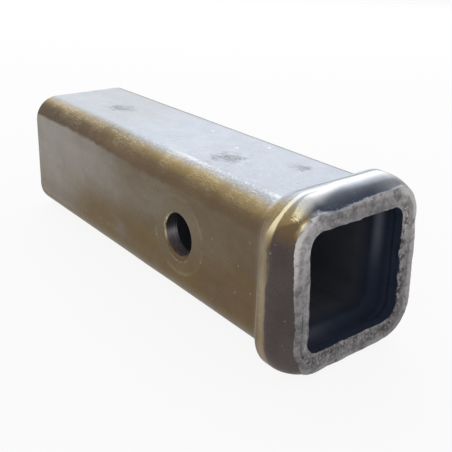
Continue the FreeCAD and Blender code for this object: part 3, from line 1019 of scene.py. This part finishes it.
class RECEIVER_OT_finish_steel(bpy.types.Operator):
    """Gives the tube its worn mill skin, cut ends, inner scale and drilled hole, with their painted
    reflections, highlights and shade
    """

    bl_idname = "receiver.finish_steel"
    bl_label = "Finish the Steel"

    def execute(self, context):
        sizes, colours = context.scene.tube_sizes, context.scene.steel_colours
        piece = bpy.data.objects[PIECE]
        marks = [face.material_index for face in piece.data.polygons]
        piece.data.materials.clear()
        for finish in (rolled_skin, cut_end, inner_scale, drilled_wall):
            piece.data.materials.append(finish(sizes, colours))
        piece.data.polygons.foreach_set("material_index", marks)
        return {"FINISHED"}


def seen(make):
    """1 for what the camera, a reflection or glass shows, 0 for light on a dull surface."""
    rays = [
        make.node("ShaderNodeLightPath", None, None, ray)
        for ray in ("Is Camera Ray", "Is Glossy Ray", "Is Transmission Ray")
    ]
    return (rays[0] + rays[1] + rays[2]).least(1.0)


def lay_floor(look, sizes):
    """Lays the floor under the tube's rear edge and the collar's crown, on which it comes to rest."""
    rear = Vector((LOW.x + sizes.rear_break, 0.0, -sizes.outer_width / 2))
    crown = Vector((HIGH.x - sizes.crown_front, 0.0, LOW.z))
    tilt = math.atan2(rear.z - crown.z, crown.x - rear.x)
    mesh = bmesh.new()
    bmesh.ops.create_grid(
        mesh, x_segments=1, y_segments=1, size=look.floor_reach,
        matrix=Matrix.Translation(crown) @ Matrix.Rotation(tilt, 4, "Y"))
    floor = add_mesh("floor", mesh)
    material, make = new_finish("pale_floor")
    matt = make.node("ShaderNodeBsdfDiffuse", None, {"Color": rgba(look.floor)})
    white = make.node("ShaderNodeEmission", None, {"Color": rgba(WHITE), "Strength": 1.0})
    share = seen(make) * look.floor_white
    mixed = make.node("ShaderNodeMixShader", None, {0: share, 1: matt, 2: white})
    make.node("ShaderNodeOutputMaterial", None, {"Surface": mixed})
    floor.data.materials.append(material)


def hang_softbox(look):
    """Hangs one large soft lamp behind and above the tube, facing it."""
    data = bpy.data.lights.new("softbox", "AREA")
    data.shape = "RECTANGLE"
    data.size = look.softbox_width
    data.size_y = look.softbox_height
    data.energy = look.softbox_power
    data.color = look.softbox_colour
    lamp = add_object("softbox", data)
    towards = Vector(look.softbox_way).normalized()
    centre = (LOW + HIGH) / 2
    turned = towards.to_track_quat("Z", "Y").to_matrix().to_4x4()
    lamp.matrix_world = Matrix.Translation(centre + towards * look.softbox_reach) @ turned
    lamp.visible_camera = False


def light_world(look):
    """Lights the studio evenly from all round."""
    world = bpy.data.worlds.new("studio")
    world.use_nodes = True
    make = Finish(world.node_tree)
    show = seen(make)
    strength = show + (1.0 - show) * look.ambient
    back = make.node("ShaderNodeBackground", None, {"Color": rgba(WHITE), "Strength": strength})
    make.node("ShaderNodeOutputWorld", None, {"Surface": back})
    bpy.context.scene.world = world


def set_camera(look):
    """Stands the camera where it sees the tube's side, top and mouth."""
    data = bpy.data.cameras.new("camera")
    data.lens = look.camera_lens
    data.shift_y = look.camera_drop
    data.clip_start = look.camera_near
    camera = add_object("camera", data)
    aim = Vector(look.camera_aim).to_track_quat("-Z", "Y").to_matrix().to_4x4()
    camera.matrix_world = (
        Matrix.Translation(look.camera_place) @ aim @ Matrix.Rotation(look.camera_roll, 4, "Z"))
    bpy.context.scene.camera = camera


class RECEIVER_OT_set_stage(bpy.types.Operator):
    """Lays the floor, hangs the lamp, lights the studio and stands the camera"""

    bl_idname = "receiver.set_stage"
    bl_label = "Set the Stage"

    def execute(self, context):
        look = context.scene.studio_look
        lay_floor(look, context.scene.tube_sizes)
        hang_softbox(look)
        light_world(look)
        set_camera(look)
        context.scene.view_settings.view_transform = "Standard"
        return {"FINISHED"}


GROUPS = {"tube_sizes": TubeSizes, "steel_colours": SteelColours, "studio_look": StudioLook}
OPERATORS = (RECEIVER_OT_form_wall, RECEIVER_OT_finish_steel, RECEIVER_OT_set_stage)


class RECEIVER_PT_tube(bpy.types.Panel):
    """Sizes, colours and steps of the receiver tube"""

    bl_idname = "RECEIVER_PT_tube"
    bl_label = "Receiver Tube"
    bl_space_type = "VIEW_3D"
    bl_region_type = "UI"
    bl_category = "Receiver Tube"

    def draw(self, context):
        layout = self.layout
        for operator in OPERATORS:
            layout.operator(operator.bl_idname)
        for group, kind in GROUPS.items():
            box = layout.box()
            for name in kind.__annotations__:
                box.prop(getattr(context.scene, group), name)


CLASSES = (*GROUPS.values(), *OPERATORS, RECEIVER_PT_tube)


def register():
    for item in CLASSES:
        bpy.utils.register_class(item)
    for group, kind in GROUPS.items():
        setattr(bpy.types.Scene, group, bpy.props.PointerProperty(type=kind))


def unregister():
    for group in GROUPS:
        delattr(bpy.types.Scene, group)
    for item in reversed(CLASSES):
        bpy.utils.unregister_class(item)


def main():
    register()
    bpy.ops.receiver.form_wall()
    bpy.ops.receiver.finish_steel()
    bpy.ops.receiver.set_stage()


if __name__ == "__main__":
    main()
